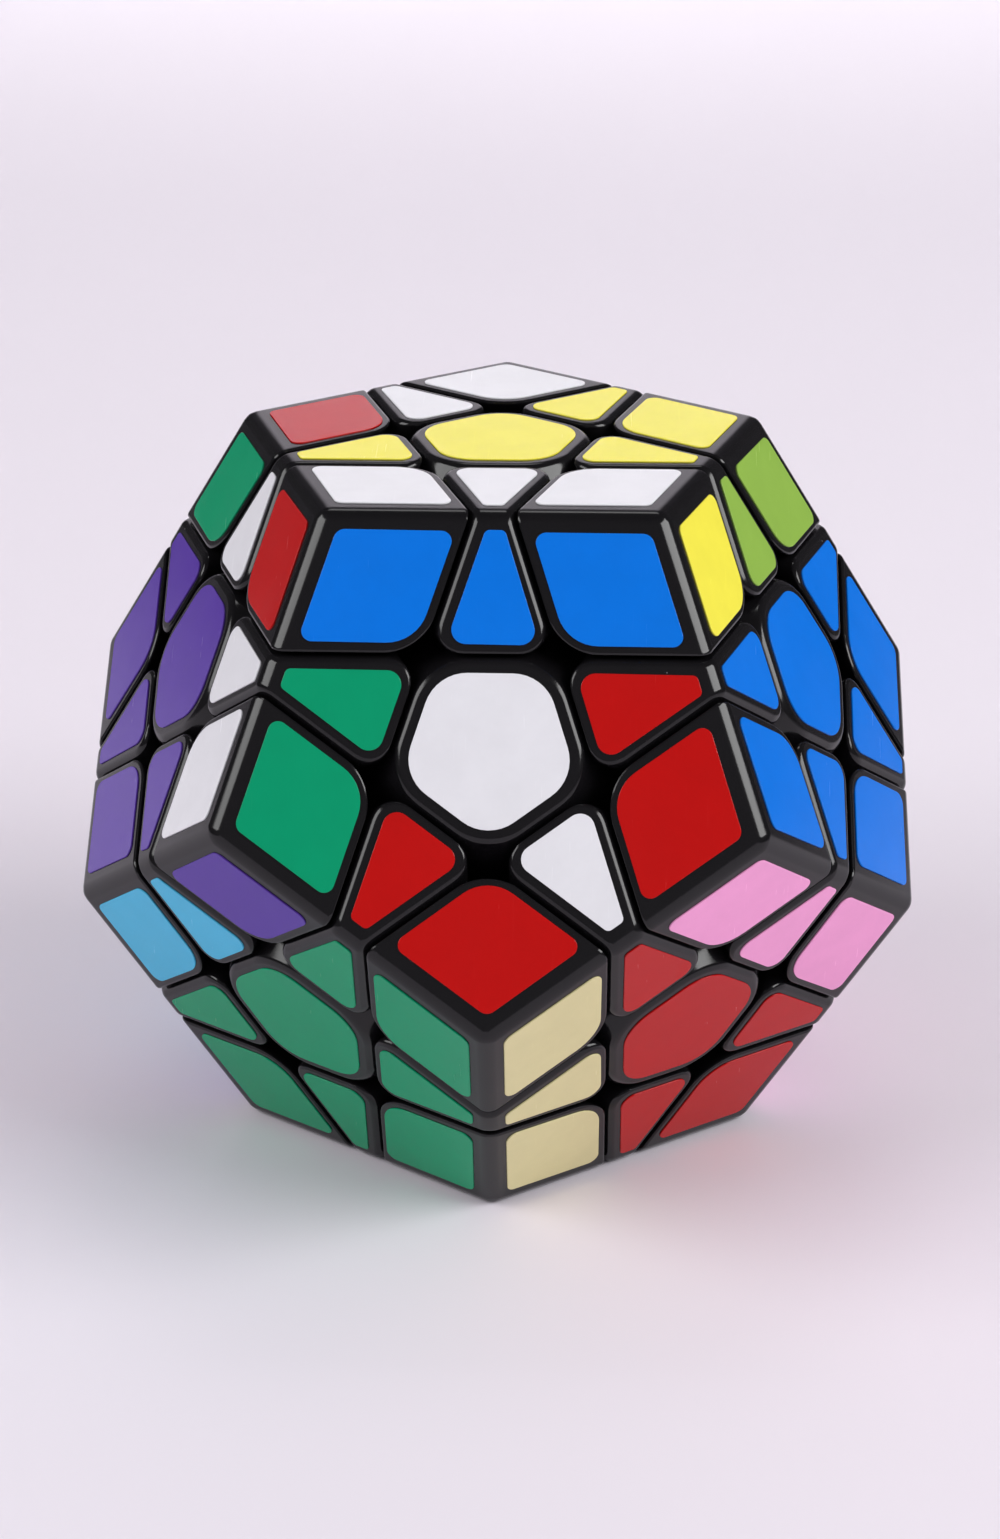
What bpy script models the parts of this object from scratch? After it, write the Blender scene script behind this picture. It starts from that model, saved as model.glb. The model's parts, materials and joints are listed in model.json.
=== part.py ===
"""A dodecahedral twisty puzzle: twelve pentagonal faces, each with a layer that turns about its own axis.

The puzzle is centred on the origin. The yellow face points up (+Z), the white face points forward and up
(-Y side), and the puzzle rests on the cream face. A core carries the twelve face axes. Centres stand on
these axes, the feet of the edges hook under the centres, and the feet of the corners hook under the edges.

Every boundary between a layer and the rest of the puzzle is a surface of revolution about that layer's
axis, so a whole layer turns freely:
  - outside, a plane across the axis (the cut that shows on the surface),
  - below it, a neck cone,
  - at the bottom, a wider foot cone with a step under the neighbouring pieces.
Three faces that share no piece with one another (yellow, red, sky) have their own turning centres, each
on a tension screw with a spring. The centres of the other nine faces are one piece with the core.
"""

import itertools
import math

import bmesh
import bpy
from mathutils import Matrix, Vector

MM = 0.001

# Driving dimensions
SIDE = 33 * MM  # side of a pentagonal face
RIDGE_SHARE = 0.102  # share of that side which an edge piece takes on the ridge
GAP = 0.4 * MM  # clearance between the visible blocks
INNER_GAP = 0.5 * MM  # clearance between necks and feet, whose round sides are faceted
NECK_ANGLE = math.radians(44)  # half angle of the neck cone, from the layer's axis
FOOT_ANGLE = math.radians(52)  # half angle of the foot cone
FOOT_TOP = 29 * MM  # distance of the step between foot and neck from the puzzle's centre
STEP_RISE = 0.8 * MM  # the step slopes: its outer end is this much lower, its inner end this much higher
FOOT_BOTTOM = 21 * MM  # distance of the feet's undersides from the puzzle's centre
CONE_BOTTOM = 18 * MM  # where the foot cone starts, well below the feet
NECK_TOP = 35.2 * MM  # how far out the neck reaches into the visible block
CUTTER_TOP = 46 * MM  # how far out a cutter's neck reaches, beyond every block
CAP_BOTTOM = 27 * MM  # height of a centre's block above the puzzle's centre, below the step
INSET = 0.05 * MM  # keeps the sides of a neck just inside those of its block

# Rounding of the visible blocks
RIDGE_CHAMFER = 1.1 * MM  # along the edges of the dodecahedron
RIM_CHAMFER = 0.5 * MM  # where a face meets a cut
UPRIGHT_ROUNDING = {1: 3.8 * MM, 2: 3.2 * MM, 3: 3.6 * MM}  # by the number of faces a piece shows
UPRIGHT_STEPS = 3
OUTWARD = 0.72  # least cosine between an outer surface, ridge and vertex included, and a face's axis

# Core, stems, screws and springs
CORE_RADIUS = 9 * MM
STEM_RADIUS = 3.85 * MM
STEM_TOP = 30 * MM  # inside the centre's block
POST_TOP = 15 * MM  # where a post of the core ends and a turning centre's stem begins
SHELF_TOP = 18.5 * MM  # floor of the spring chamber inside a stem
CHAMBER_TOP = 29.5 * MM
CHAMBER_RADIUS = 2.85 * MM
SCREW_RADIUS = 1.2 * MM
SCREW_CLEARANCE = 0.3 * MM
SCREW_TIP = 9.6 * MM
TIP_LENGTH = 1 * MM
TIP_SHARE = 0.6  # of the screw's radius, at its very end
HEAD_RADIUS = 2.45 * MM
HEAD_BOTTOM = 25.4 * MM
HEAD_TOP = 27.2 * MM
HEAD_CROWN = 0.6 * MM  # height of the head's sloping top
CROWN_SHARE = 0.75  # of the head's radius, at its flat top
SLOT_WIDTH = 0.7 * MM
SLOT_LENGTH = 3.2 * MM
SLOT_DEPTH = 0.9 * MM
COIL_RADIUS = 2.15 * MM
WIRE_RADIUS = 0.4 * MM
COIL_TURNS = 4
COIL_CLEARANCE = 0.3 * MM
OVERRUN = 1 * MM  # how far a cutter runs past the surface that it opens

# Fineness of the round shapes
WELD = 0.002 * MM  # points closer than this are one point
SAME_PLANE = 0.01 * MM
LAYER_FACETS = 20  # a multiple of five, so that a turn of 72 degrees maps the facets onto themselves
STEM_FACETS = 16
CORE_FACETS = 20
COIL_STEPS = 10
WIRE_SIDES = 5
SHARP_ANGLE = math.radians(35)

UPPER_RING = ("white", "blue", "lime", "orange", "purple")
LOWER_RING = ("red", "pink", "grey", "sky", "green")
TURNING_FACES = ("yellow", "red", "sky")

# Figures that follow from the dodecahedron
FACE_DISTANCE = SIDE * math.sqrt(10 + 4.4 * math.sqrt(5)) / 4  # centre to face
RING_POLAR = math.acos(1 / math.sqrt(5))  # angle between the axes of two faces that share a ridge
STRIP_WIDTH = SIDE * (1 - RIDGE_SHARE) / 2 * math.sin(math.radians(108))
CUT_DISTANCE = FACE_DISTANCE - STRIP_WIDTH * math.sin(RING_POLAR)


def clear_scene():
    for obj in list(bpy.data.objects):
        bpy.data.objects.remove(obj)


def direction(azimuth, polar):
    """Unit vector with its azimuth measured from -Y towards +X and its polar angle from +Z."""
    return Vector(
        (
            math.sin(polar) * math.sin(azimuth),
            -math.sin(polar) * math.cos(azimuth),
            math.cos(polar),
        )
    )


def face_axes():
    """Colour of each face and its outward axis."""
    axes = {"yellow": Vector((0, 0, 1))}
    for place, colour in enumerate(UPPER_RING):
        axes[colour] = direction(math.radians(72 * place), RING_POLAR)
    for place, colour in enumerate(LOWER_RING):
        axes[colour] = direction(math.radians(36 + 72 * place), math.pi - RING_POLAR)
    axes["cream"] = Vector((0, 0, -1))
    return axes


AXES = face_axes()


def are_neighbours(first, second):
    return first != second and AXES[first].dot(AXES[second]) > 0


def neighbours(colour):
    return [other for other in AXES if are_neighbours(colour, other)]


def groups_of(size):
    """Every set of this many faces that all meet one another: two meet in a ridge, three in a vertex."""
    return [
        group
        for group in itertools.combinations(AXES, size)
        if all(are_neighbours(a, b) for a, b in itertools.combinations(group, 2))
    ]


def frame_along(axis, reference):
    """Rotation that takes +Z to the axis and +X towards the reference direction."""
    across = (reference - axis * reference.dot(axis)).normalized()
    return Matrix((across, axis.cross(across), axis)).transposed().to_4x4()


def middle_of(colours):
    return sum((AXES[colour] for colour in colours), Vector()).normalized()


def piece_frame(colours):
    """Orientation of a piece. Its symmetry makes every choice of the reference face equal."""
    reference = colours[0] if len(colours) > 1 else neighbours(colours[0])[0]
    return frame_along(middle_of(colours), AXES[reference])


# Solids ------------------------------------------------------------------------------------------------


def helper(name, bm):
    """A hidden object that holds a finished bmesh."""
    bmesh.ops.recalc_face_normals(bm, faces=bm.faces)
    mesh = bpy.data.meshes.new(name)
    bm.to_mesh(mesh)
    bm.free()
    obj = bpy.data.objects.new(name, mesh)
    obj.hide_render = True
    obj.display_type = "WIRE"
    bpy.context.scene.collection.objects.link(obj)
    return obj


def combine(base, other, operation):
    """Boolean of two helpers. The result stays in the first, and the second is removed."""
    modifier = base.modifiers.new(operation.lower(), "BOOLEAN")
    modifier.operation = operation
    modifier.solver = "EXACT"
    modifier.object = other
    graph = bpy.context.evaluated_depsgraph_get()
    bm = bmesh.new()
    bm.from_mesh(base.evaluated_get(graph).data)
    bmesh.ops.remove_doubles(bm, verts=bm.verts, dist=WELD)
    bmesh.ops.dissolve_degenerate(bm, edges=bm.edges, dist=WELD)
    base.modifiers.clear()
    bm.to_mesh(base.data)
    bm.free()
    bpy.data.objects.remove(other)
    return base


def turned(name, profile, axis, reference, facets):
    """Solid of revolution. The profile's (radius, height) points start and end on the axis."""
    bm = bmesh.new()
    points = [bm.verts.new((radius, 0, height)) for radius, height in profile]
    lines = [bm.edges.new(pair) for pair in itertools.pairwise(points)]
    bmesh.ops.spin(
        bm, geom=points + lines, axis=(0, 0, 1), cent=(0, 0, 0), angle=math.tau, steps=facets
    )
    bmesh.ops.remove_doubles(bm, verts=bm.verts, dist=WELD)
    bmesh.ops.transform(bm, matrix=frame_along(axis, reference), verts=bm.verts)
    return helper(name, bm)


def rod(name, radius, bottom, top, colour, facets=STEM_FACETS):
    profile = [(0, bottom), (radius, bottom), (radius, top), (0, top)]
    axis = AXES[colour]
    return turned(name, profile, axis, AXES[neighbours(colour)[0]], facets)


def layer_core(colour, grow):
    """Foot and neck cones about a face axis, moved outwards by grow.

    A negative grow makes the inner part of a layer's own pieces, and a positive one makes the cutter
    that keeps other pieces clear of that layer.
    """

    def on_cone(angle, radius):
        return (
            radius * math.sin(angle) + grow * math.cos(angle),
            radius * math.cos(angle) - grow * math.sin(angle),
        )

    low = on_cone(FOOT_ANGLE, CONE_BOTTOM)
    top = NECK_TOP if grow < 0 else CUTTER_TOP
    profile = [
        (0, low[1]),
        low,
        on_cone(FOOT_ANGLE, FOOT_TOP - STEP_RISE + grow),
        on_cone(NECK_ANGLE, FOOT_TOP + STEP_RISE + grow),
        on_cone(NECK_ANGLE, top),
        (top * math.sin(NECK_ANGLE / 2), top * math.cos(NECK_ANGLE / 2)),
        (0, top),
    ]
    return turned(
        "layer_core", profile, AXES[colour], AXES[neighbours(colour)[0]], LAYER_FACETS
    )


def cut_away(bm, normal, distance):
    """Removes what lies beyond the plane and closes the cut."""
    everything = bm.verts[:] + bm.edges[:] + bm.faces[:]
    cut = bmesh.ops.bisect_plane(
        bm, geom=everything, plane_co=normal * distance, plane_no=normal, clear_outer=True
    )
    rim = [item for item in cut["geom_cut"] if isinstance(item, bmesh.types.BMEdge)]
    if rim:
        bmesh.ops.edgeloop_fill(bm, edges=rim)


def edges_between(bm, first, second):
    """Edges whose two faces lie on one plane of the first group and one of the second."""

    def lies_on(face, planes):
        centre = face.calc_center_median()
        return any(
            face.normal.dot(normal) > 0.9999 and abs(centre.dot(normal) - distance) < SAME_PLANE
            for normal, distance in planes
        )

    found = []
    for edge in bm.edges:
        sides = edge.link_faces
        straight = lies_on(sides[0], first) and lies_on(sides[1], second)
        if straight or (lies_on(sides[1], first) and lies_on(sides[0], second)):
            found.append(edge)
    return found


def bevel(bm, edges, width, steps):
    if edges:
        bmesh.ops.bevel(
            bm, geom=edges, offset=width, segments=steps, profile=0.5, affect="EDGES", clamp_overlap=True
        )
    bm.normal_update()


def visible_block(colours):
    """The part of a piece between its faces and the cuts around it, with rounded edges."""
    inside = GAP / 2
    faces = [(AXES[c], FACE_DISTANCE) for c in colours]
    around = {other for c in colours for other in neighbours(c)} - set(colours)
    own_cuts = [(-AXES[c], -(CUT_DISTANCE + inside)) for c in colours]
    other_cuts = [(AXES[c], CUT_DISTANCE - inside) for c in sorted(around)]
    if len(colours) == 1:
        # A centre lies in no strip: its block ends level with the feet of the layers around it.
        own_cuts = [(-AXES[colours[0]], -CAP_BOTTOM)]
    bm = bmesh.new()
    bmesh.ops.create_cube(bm, size=4 * SIDE)
    for normal, distance in faces + own_cuts + other_cuts:
        cut_away(bm, normal, distance)
    bm.normal_update()
    uprights = own_cuts if len(colours) > 1 else other_cuts
    rounding = UPRIGHT_ROUNDING[len(colours)]
    bevel(bm, edges_between(bm, uprights, other_cuts + uprights), rounding, UPRIGHT_STEPS)
    bevel(bm, edges_between(bm, faces, faces), RIDGE_CHAMFER, 1)
    bevel(bm, [edge for edge in bm.edges if is_rim(edge, colours)], RIM_CHAMFER, 1)
    return helper("block", bm)


def is_rim(edge, colours):
    """Whether just one of the edge's two sides belongs to the outer surface."""
    outwards = [
        any(side.normal.dot(AXES[colour]) > OUTWARD for colour in colours) for side in edge.link_faces
    ]
    return outwards[0] != outwards[1]


def inner_part(colours):
    """Neck and foot of an edge or a corner piece."""
    solid = layer_core(colours[0], -INNER_GAP / 2)
    for colour in colours[1:]:
        combine(solid, layer_core(colour, -INNER_GAP / 2), "INTERSECT")
    bm = bmesh.new()
    bm.from_mesh(solid.data)
    cut_away(bm, -middle_of(colours), -FOOT_BOTTOM)
    if len(colours) == 2:
        for other in beside(colours):
            cut_away(bm, AXES[other], CUT_DISTANCE - GAP / 2 - INSET)
    bpy.data.objects.remove(solid)
    return helper("inner_part", bm)


def beside(colours):
    """The faces whose layers pass next to this piece, without holding it."""
    return [
        other for other in AXES if other not in colours and all(are_neighbours(other, c) for c in colours)
    ]


def hooked_piece(colours):
    """An edge (two colours) or a corner (three colours)."""
    piece = combine(visible_block(colours), inner_part(colours), "UNION")
    if len(colours) == 2:
        for other in beside(colours):
            combine(piece, layer_core(other, INNER_GAP / 2), "DIFFERENCE")
    return piece


def centre_cap(colour):
    """Visible block of a centre, with room below it for the layers around it."""
    cap = visible_block((colour,))
    for other in neighbours(colour):
        combine(cap, layer_core(other, INNER_GAP / 2), "DIFFERENCE")
    return cap


def turning_centre(colour):
    """Centre on a hollow stem: a screw hole at the bottom, and above it a chamber for spring and screw."""
    centre = centre_cap(colour)
    stem_bottom = POST_TOP + SCREW_CLEARANCE
    combine(centre, rod("stem", STEM_RADIUS, stem_bottom, STEM_TOP, colour), "UNION")
    hole_radius = SCREW_RADIUS + SCREW_CLEARANCE
    pocket = [
        (0, stem_bottom - OVERRUN),
        (hole_radius, stem_bottom - OVERRUN),
        (hole_radius, SHELF_TOP),
        (CHAMBER_RADIUS, SHELF_TOP),
        (CHAMBER_RADIUS, CHAMBER_TOP),
        (0, CHAMBER_TOP),
    ]
    reference = AXES[neighbours(colour)[0]]
    combine(centre, turned("pocket", pocket, AXES[colour], reference, STEM_FACETS), "DIFFERENCE")
    return centre


def core():
    """Ball with three posts for the turning centres and nine fixed centres on full stems."""
    steps = CORE_FACETS // 2
    profile = [(0, -CORE_RADIUS)]
    for step in range(1, steps):
        angle = math.pi * step / steps
        profile.append((CORE_RADIUS * math.sin(angle), -CORE_RADIUS * math.cos(angle)))
    profile.append((0, CORE_RADIUS))
    ball = turned("ball", profile, AXES["yellow"], AXES["white"], CORE_FACETS)
    bore_radius = SCREW_RADIUS + SCREW_CLEARANCE / 2
    bore_bottom = SCREW_TIP - SCREW_CLEARANCE
    for colour in AXES:
        if colour in TURNING_FACES:
            combine(ball, rod("post", STEM_RADIUS, 0, POST_TOP, colour), "UNION")
            bore = rod("bore", bore_radius, bore_bottom, POST_TOP + OVERRUN, colour)
            combine(ball, bore, "DIFFERENCE")
        else:
            stem = rod("stem", STEM_RADIUS, 0, STEM_TOP, colour)
            combine(ball, combine(centre_cap(colour), stem, "UNION"), "UNION")
    return ball


def tension_screw(colour):
    """Pan head screw with a cross recess, tip in the core and head in the centre's chamber."""
    profile = [
        (0, SCREW_TIP),
        (TIP_SHARE * SCREW_RADIUS, SCREW_TIP),
        (SCREW_RADIUS, SCREW_TIP + TIP_LENGTH),
        (SCREW_RADIUS, HEAD_BOTTOM),
        (HEAD_RADIUS, HEAD_BOTTOM),
        (HEAD_RADIUS, HEAD_TOP - HEAD_CROWN),
        (CROWN_SHARE * HEAD_RADIUS, HEAD_TOP),
        (0, HEAD_TOP),
    ]
    axis = AXES[colour]
    reference = AXES[neighbours(colour)[0]]
    screw = turned("screw", profile, axis, reference, STEM_FACETS)
    for length, width in ((SLOT_LENGTH, SLOT_WIDTH), (SLOT_WIDTH, SLOT_LENGTH)):
        bm = bmesh.new()
        bmesh.ops.create_cube(bm, size=1)
        bmesh.ops.scale(bm, vec=(length, width, 2 * SLOT_DEPTH), verts=bm.verts)
        bmesh.ops.translate(bm, vec=(0, 0, HEAD_TOP), verts=bm.verts)
        bmesh.ops.transform(bm, matrix=frame_along(axis, reference), verts=bm.verts)
        combine(screw, helper("slot", bm), "DIFFERENCE")
    return screw


def tension_spring(colour):
    """Round wire wound in a helix between the chamber's floor and the screw head."""
    bottom = SHELF_TOP + COIL_CLEARANCE + WIRE_RADIUS
    top = HEAD_BOTTOM - COIL_CLEARANCE - WIRE_RADIUS
    stations = COIL_TURNS * COIL_STEPS
    bm = bmesh.new()
    rings = []
    for station in range(stations + 1):
        turn = math.tau * station / COIL_STEPS
        height = bottom + (top - bottom) * station / stations
        outwards = Vector((math.cos(turn), math.sin(turn), 0))
        upwards = Vector((0, 0, 1))
        ring = []
        for side in range(WIRE_SIDES):
            angle = math.tau * side / WIRE_SIDES
            offset = outwards * math.cos(angle) + upwards * math.sin(angle)
            point = outwards * COIL_RADIUS + upwards * height + offset * WIRE_RADIUS
            ring.append(bm.verts.new(point))
        rings.append(ring)
    for lower, upper in itertools.pairwise(rings):
        for side in range(WIRE_SIDES):
            after = (side + 1) % WIRE_SIDES
            bm.faces.new((lower[side], lower[after], upper[after], upper[side]))
    bm.faces.new(rings[0])
    bm.faces.new(rings[-1])
    matrix = frame_along(AXES[colour], AXES[neighbours(colour)[0]])
    bmesh.ops.transform(bm, matrix=matrix, verts=bm.verts)
    return helper("spring", bm)


# Materials and assembly --------------------------------------------------------------------------------


def principled(name, colour, roughness, metallic):
    material = bpy.data.materials.new(name)
    material.use_nodes = True
    shader = material.node_tree.nodes["Principled BSDF"]
    shader.inputs["Base Color"].default_value = (*colour, 1)
    shader.inputs["Roughness"].default_value = roughness
    shader.inputs["Metallic"].default_value = metallic
    return material


def finished_mesh(solid, material):
    """Takes the mesh out of a helper, smooth on its round sides."""
    mesh = solid.data
    bpy.data.objects.remove(solid)
    mesh.materials.clear()
    mesh.materials.append(material)
    mesh.shade_smooth()
    mesh.set_sharp_from_angle(angle=SHARP_ANGLE)
    return mesh


def place(name, mesh, rotation=None):
    """An object with its origin at the puzzle's centre, which is on every joint's axis."""
    obj = bpy.data.objects.new(name, mesh)
    if rotation:
        obj.matrix_world = rotation
    bpy.context.scene.collection.objects.link(obj)
    return obj


def copies(kind, groups, build, material):
    """One object for each group of colours, all sharing the first one's mesh."""
    first = piece_frame(groups[0])
    mesh = finished_mesh(build(groups[0]), material)
    for colours in groups:
        place("_".join((kind, *colours)), mesh, piece_frame(colours) @ first.inverted())


def build_puzzle():
    plastic = principled("black_plastic", (0.012, 0.012, 0.014), 0.35, 0)
    steel = principled("zinc_plated_steel", (0.55, 0.55, 0.57), 0.3, 1)
    spring_steel = principled("spring_steel", (0.42, 0.42, 0.44), 0.35, 1)

    place("core_with_fixed_centres", finished_mesh(core(), plastic))
    turning = [(colour,) for colour in TURNING_FACES]
    copies("centre", turning, lambda colours: turning_centre(colours[0]), plastic)
    copies("tension_screw", turning, lambda colours: tension_screw(colours[0]), steel)
    copies("tension_spring", turning, lambda colours: tension_spring(colours[0]), spring_steel)
    copies("edge", groups_of(2), hooked_piece, plastic)
    copies("corner", groups_of(3), hooked_piece, plastic)


clear_scene()
build_puzzle()
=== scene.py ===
"""Looks of the dodecahedral twisty puzzle: rounded black plastic, vinyl stickers, steel parts, studio."""

import itertools
import json
import math
import random

import bmesh
import bpy
from mathutils import Matrix, Vector

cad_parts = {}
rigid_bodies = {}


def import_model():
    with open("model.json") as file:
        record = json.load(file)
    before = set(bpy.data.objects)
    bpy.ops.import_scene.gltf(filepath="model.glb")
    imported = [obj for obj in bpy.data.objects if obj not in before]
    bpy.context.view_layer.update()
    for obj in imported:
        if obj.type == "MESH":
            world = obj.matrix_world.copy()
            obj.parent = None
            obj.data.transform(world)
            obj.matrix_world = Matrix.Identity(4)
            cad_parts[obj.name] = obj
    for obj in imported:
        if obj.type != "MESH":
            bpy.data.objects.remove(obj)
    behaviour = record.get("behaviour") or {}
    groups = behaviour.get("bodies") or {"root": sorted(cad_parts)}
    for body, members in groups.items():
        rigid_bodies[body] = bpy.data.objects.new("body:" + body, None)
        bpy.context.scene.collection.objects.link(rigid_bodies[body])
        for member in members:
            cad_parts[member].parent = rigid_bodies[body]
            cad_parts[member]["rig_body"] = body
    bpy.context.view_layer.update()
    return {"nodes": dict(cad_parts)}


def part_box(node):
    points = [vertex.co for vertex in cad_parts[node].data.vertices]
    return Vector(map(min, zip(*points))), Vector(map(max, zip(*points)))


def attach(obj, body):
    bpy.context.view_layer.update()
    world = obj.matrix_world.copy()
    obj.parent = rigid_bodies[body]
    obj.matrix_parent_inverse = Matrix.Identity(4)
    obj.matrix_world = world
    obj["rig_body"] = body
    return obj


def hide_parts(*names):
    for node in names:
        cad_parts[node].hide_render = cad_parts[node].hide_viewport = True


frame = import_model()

MM = 0.001

# The puzzle as a whole, with sizes read from the frame
FACE_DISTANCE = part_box("centre_yellow")[1].z  # from the puzzle's centre to each face
RING_POLAR = math.acos(1 / math.sqrt(5))  # between the axes of two faces that share a ridge
SIDE = 4 * FACE_DISTANCE / math.sqrt(10 + 4.4 * math.sqrt(5))  # length of a ridge
STEM_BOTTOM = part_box("centre_yellow")[0].z
SCREW_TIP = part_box("tension_screw_yellow")[0].z

# The same cuts as the solids have
RIDGE_SHARE = 0.102
GAP = 0.4 * MM
INNER_GAP = 0.5 * MM
NECK_ANGLE = math.radians(44)
FOOT_ANGLE = math.radians(52)
FOOT_TOP = 29 * MM
STEP_RISE = 0.8 * MM
FOOT_BOTTOM = 21 * MM
CONE_BOTTOM = 18 * MM
NECK_TOP = 35.2 * MM
CUTTER_TOP = 46 * MM
CAP_BOTTOM = 27 * MM
INSET = 0.05 * MM
STEM_RADIUS = 3.85 * MM
STEM_TOP = 30 * MM
CORE_RADIUS = 9 * MM
POST_CLEARANCE = 0.3 * MM
POST_CHAMFER = 0.3 * MM
SHELF_TOP = 18.5 * MM  # floor of the spring chamber inside a turning centre's stem
CHAMBER_TOP = 29.5 * MM
CHAMBER_RADIUS = 2.85 * MM
SCREW_RADIUS = 1.2 * MM
SCREW_CLEARANCE = 0.3 * MM
OVERRUN = 1 * MM  # how far a cutter reaches past the solid it cuts
STRIP_WIDTH = SIDE * (1 - RIDGE_SHARE) / 2 * math.sin(math.radians(108))
CUT_DISTANCE = FACE_DISTANCE - STRIP_WIDTH * math.sin(RING_POLAR)

# Rounding of the visible blocks, by the number of faces a piece shows
UPRIGHT_ROUNDING = {1: 3.8 * MM, 2: 3.2 * MM, 3: 3.6 * MM}
UPRIGHT_STEPS = 10
RIDGE_ROUNDING = 1.15 * MM
RIDGE_STEPS = 6
RIM_ROUNDING = 0.55 * MM
RIM_STEPS = 4
OUTWARD = 0.72  # least cosine between an outer surface, ridge and vertex included, and a face's axis

# Fineness
WELD = 0.001 * MM
SAME_PLANE = 0.01 * MM
SAME_DIRECTION = 0.9999  # least cosine between the normals of two faces that count as parallel
LAYER_FACETS = 80
STEM_FACETS = 48
CORE_FACETS = 64
OUTLINE_STEPS = 8  # per rounded corner of a sticker
PLASTIC_SHARP_ANGLE = math.radians(30)
STICKER_SHARP_ANGLE = math.radians(40)

UPPER_RING = ("white", "blue", "lime", "orange", "purple")
LOWER_RING = ("red", "pink", "grey", "sky", "green")

# Stickers
STICKER_THICKNESS = 0.13 * MM
STICKER_SINK = 0.02 * MM
STICKER_RIM = 0.05 * MM  # width of the rounded rim
STICKER_RIM_STEPS = 3
CENTRE_MARGIN = 1.44 * MM  # from a centre's sticker to the cuts
CUT_MARGIN = 1.26 * MM  # from other stickers to the cut next to them
EDGE_RIDGE_MARGIN = 1.8 * MM  # from an edge's sticker to the ridge
CORNER_RIDGE_MARGIN = 1.95 * MM
CENTRE_RADIUS = 4.2 * MM
EDGE_RADII = (0.6 * MM, 1.4 * MM, 1.4 * MM, 0.6 * MM)  # first and last at the ridge
CORNER_RADII = (1.15 * MM, 1.0 * MM, 4.1 * MM, 1.0 * MM)  # first at the vertex, third at the inner corner
STICKER_SHIFT = 0.1 * MM  # how far off centre a sticker may sit, each way
STICKER_TURN = 0.6  # how far askew it may sit, in degrees
STICKER_SEED = 12

# Faces of the scrambled pieces: face of the puzzle = colour of the sticker there. Other pieces are solved.
SCRAMBLED = (
    "yellow=white white=blue purple=red",
    "yellow=white white=blue blue=yellow",
    "yellow=red purple=green orange=white",
    "yellow=white orange=purple lime=yellow",
    "yellow=yellow lime=orange blue=lime",
    "white=green purple=white green=purple",
    "white=red green=green red=cream",
    "white=red red=pink blue=blue",
    "purple=purple orange=yellow sky=orange",
    "purple=purple sky=orange green=sky",
    "blue=blue red=pink pink=lime",
    "sky=purple green=green cream=sky",
    "green=green red=cream cream=sky",
    "blue=blue lime=yellow pink=lime",
    "yellow=white white=blue",
    "yellow=yellow purple=white",
    "yellow=white orange=purple",
    "yellow=yellow lime=orange",
    "yellow=yellow blue=lime",
    "white=green purple=white",
    "white=red blue=blue",
    "white=red green=green",
    "white=white red=red",
    "purple=purple orange=yellow",
    "purple=purple sky=orange",
    "purple=purple green=sky",
    "green=green red=cream",
    "green=green sky=purple",
    "blue=blue red=pink",
    "blue=blue lime=yellow",
    "blue=blue pink=lime",
    "green=green cream=sky",
)

STICKER_COLOURS = {
    "white": "E7E7EB",
    "blue": "0074E0",
    "red": "BC0B09",
    "green": "00996A",
    "yellow": "F4EA4C",
    "purple": "5838A2",
    "orange": "DB571C",
    "sky": "4CBDE6",
    "pink": "FAA6D9",
    "cream": "E1D8A3",
    "lime": "90B84C",
    "grey": "8B8E93",
}


# Faces and pieces --------------------------------------------------------------------------------------


def direction(azimuth, polar):
    """Unit vector with its azimuth measured from -Y towards +X and its polar angle from +Z."""
    flat = math.sin(polar)
    return Vector((flat * math.sin(azimuth), -flat * math.cos(azimuth), math.cos(polar)))


def face_axes():
    axes = {"yellow": Vector((0, 0, 1))}
    for place, colour in enumerate(UPPER_RING):
        axes[colour] = direction(math.radians(72 * place), RING_POLAR)
    for place, colour in enumerate(LOWER_RING):
        axes[colour] = direction(math.radians(36 + 72 * place), math.pi - RING_POLAR)
    axes["cream"] = Vector((0, 0, -1))
    return axes


AXES = face_axes()


def are_neighbours(first, second):
    return first != second and AXES[first].dot(AXES[second]) > 0


def neighbours(colour):
    return [other for other in AXES if are_neighbours(colour, other)]


def groups_of(size):
    """Every set of this many faces that all meet one another."""
    return [
        group
        for group in itertools.combinations(AXES, size)
        if all(are_neighbours(a, b) for a, b in itertools.combinations(group, 2))
    ]


def frame_along(axis, reference):
    """Rotation that takes +Z to the axis and +X towards the reference direction."""
    across = (reference - axis * reference.dot(axis)).normalized()
    return Matrix((across, axis.cross(across), axis)).transposed().to_4x4()


def middle_of(colours):
    return sum((AXES[colour] for colour in colours), Vector()).normalized()


def piece_frame(colours):
    reference = colours[0] if len(colours) > 1 else neighbours(colours[0])[0]
    return frame_along(middle_of(colours), AXES[reference])


def beside(colours):
    """The faces whose layers pass next to this piece, without holding it."""
    return [
        other for other in AXES if other not in colours and all(are_neighbours(other, c) for c in colours)
    ]


# Mesh helpers ------------------------------------------------------------------------------------------


def helper(name, bm):
    bmesh.ops.recalc_face_normals(bm, faces=bm.faces)
    mesh = bpy.data.meshes.new(name)
    bm.to_mesh(mesh)
    bm.free()
    obj = bpy.data.objects.new(name, mesh)
    bpy.context.scene.collection.objects.link(obj)
    return obj


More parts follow.
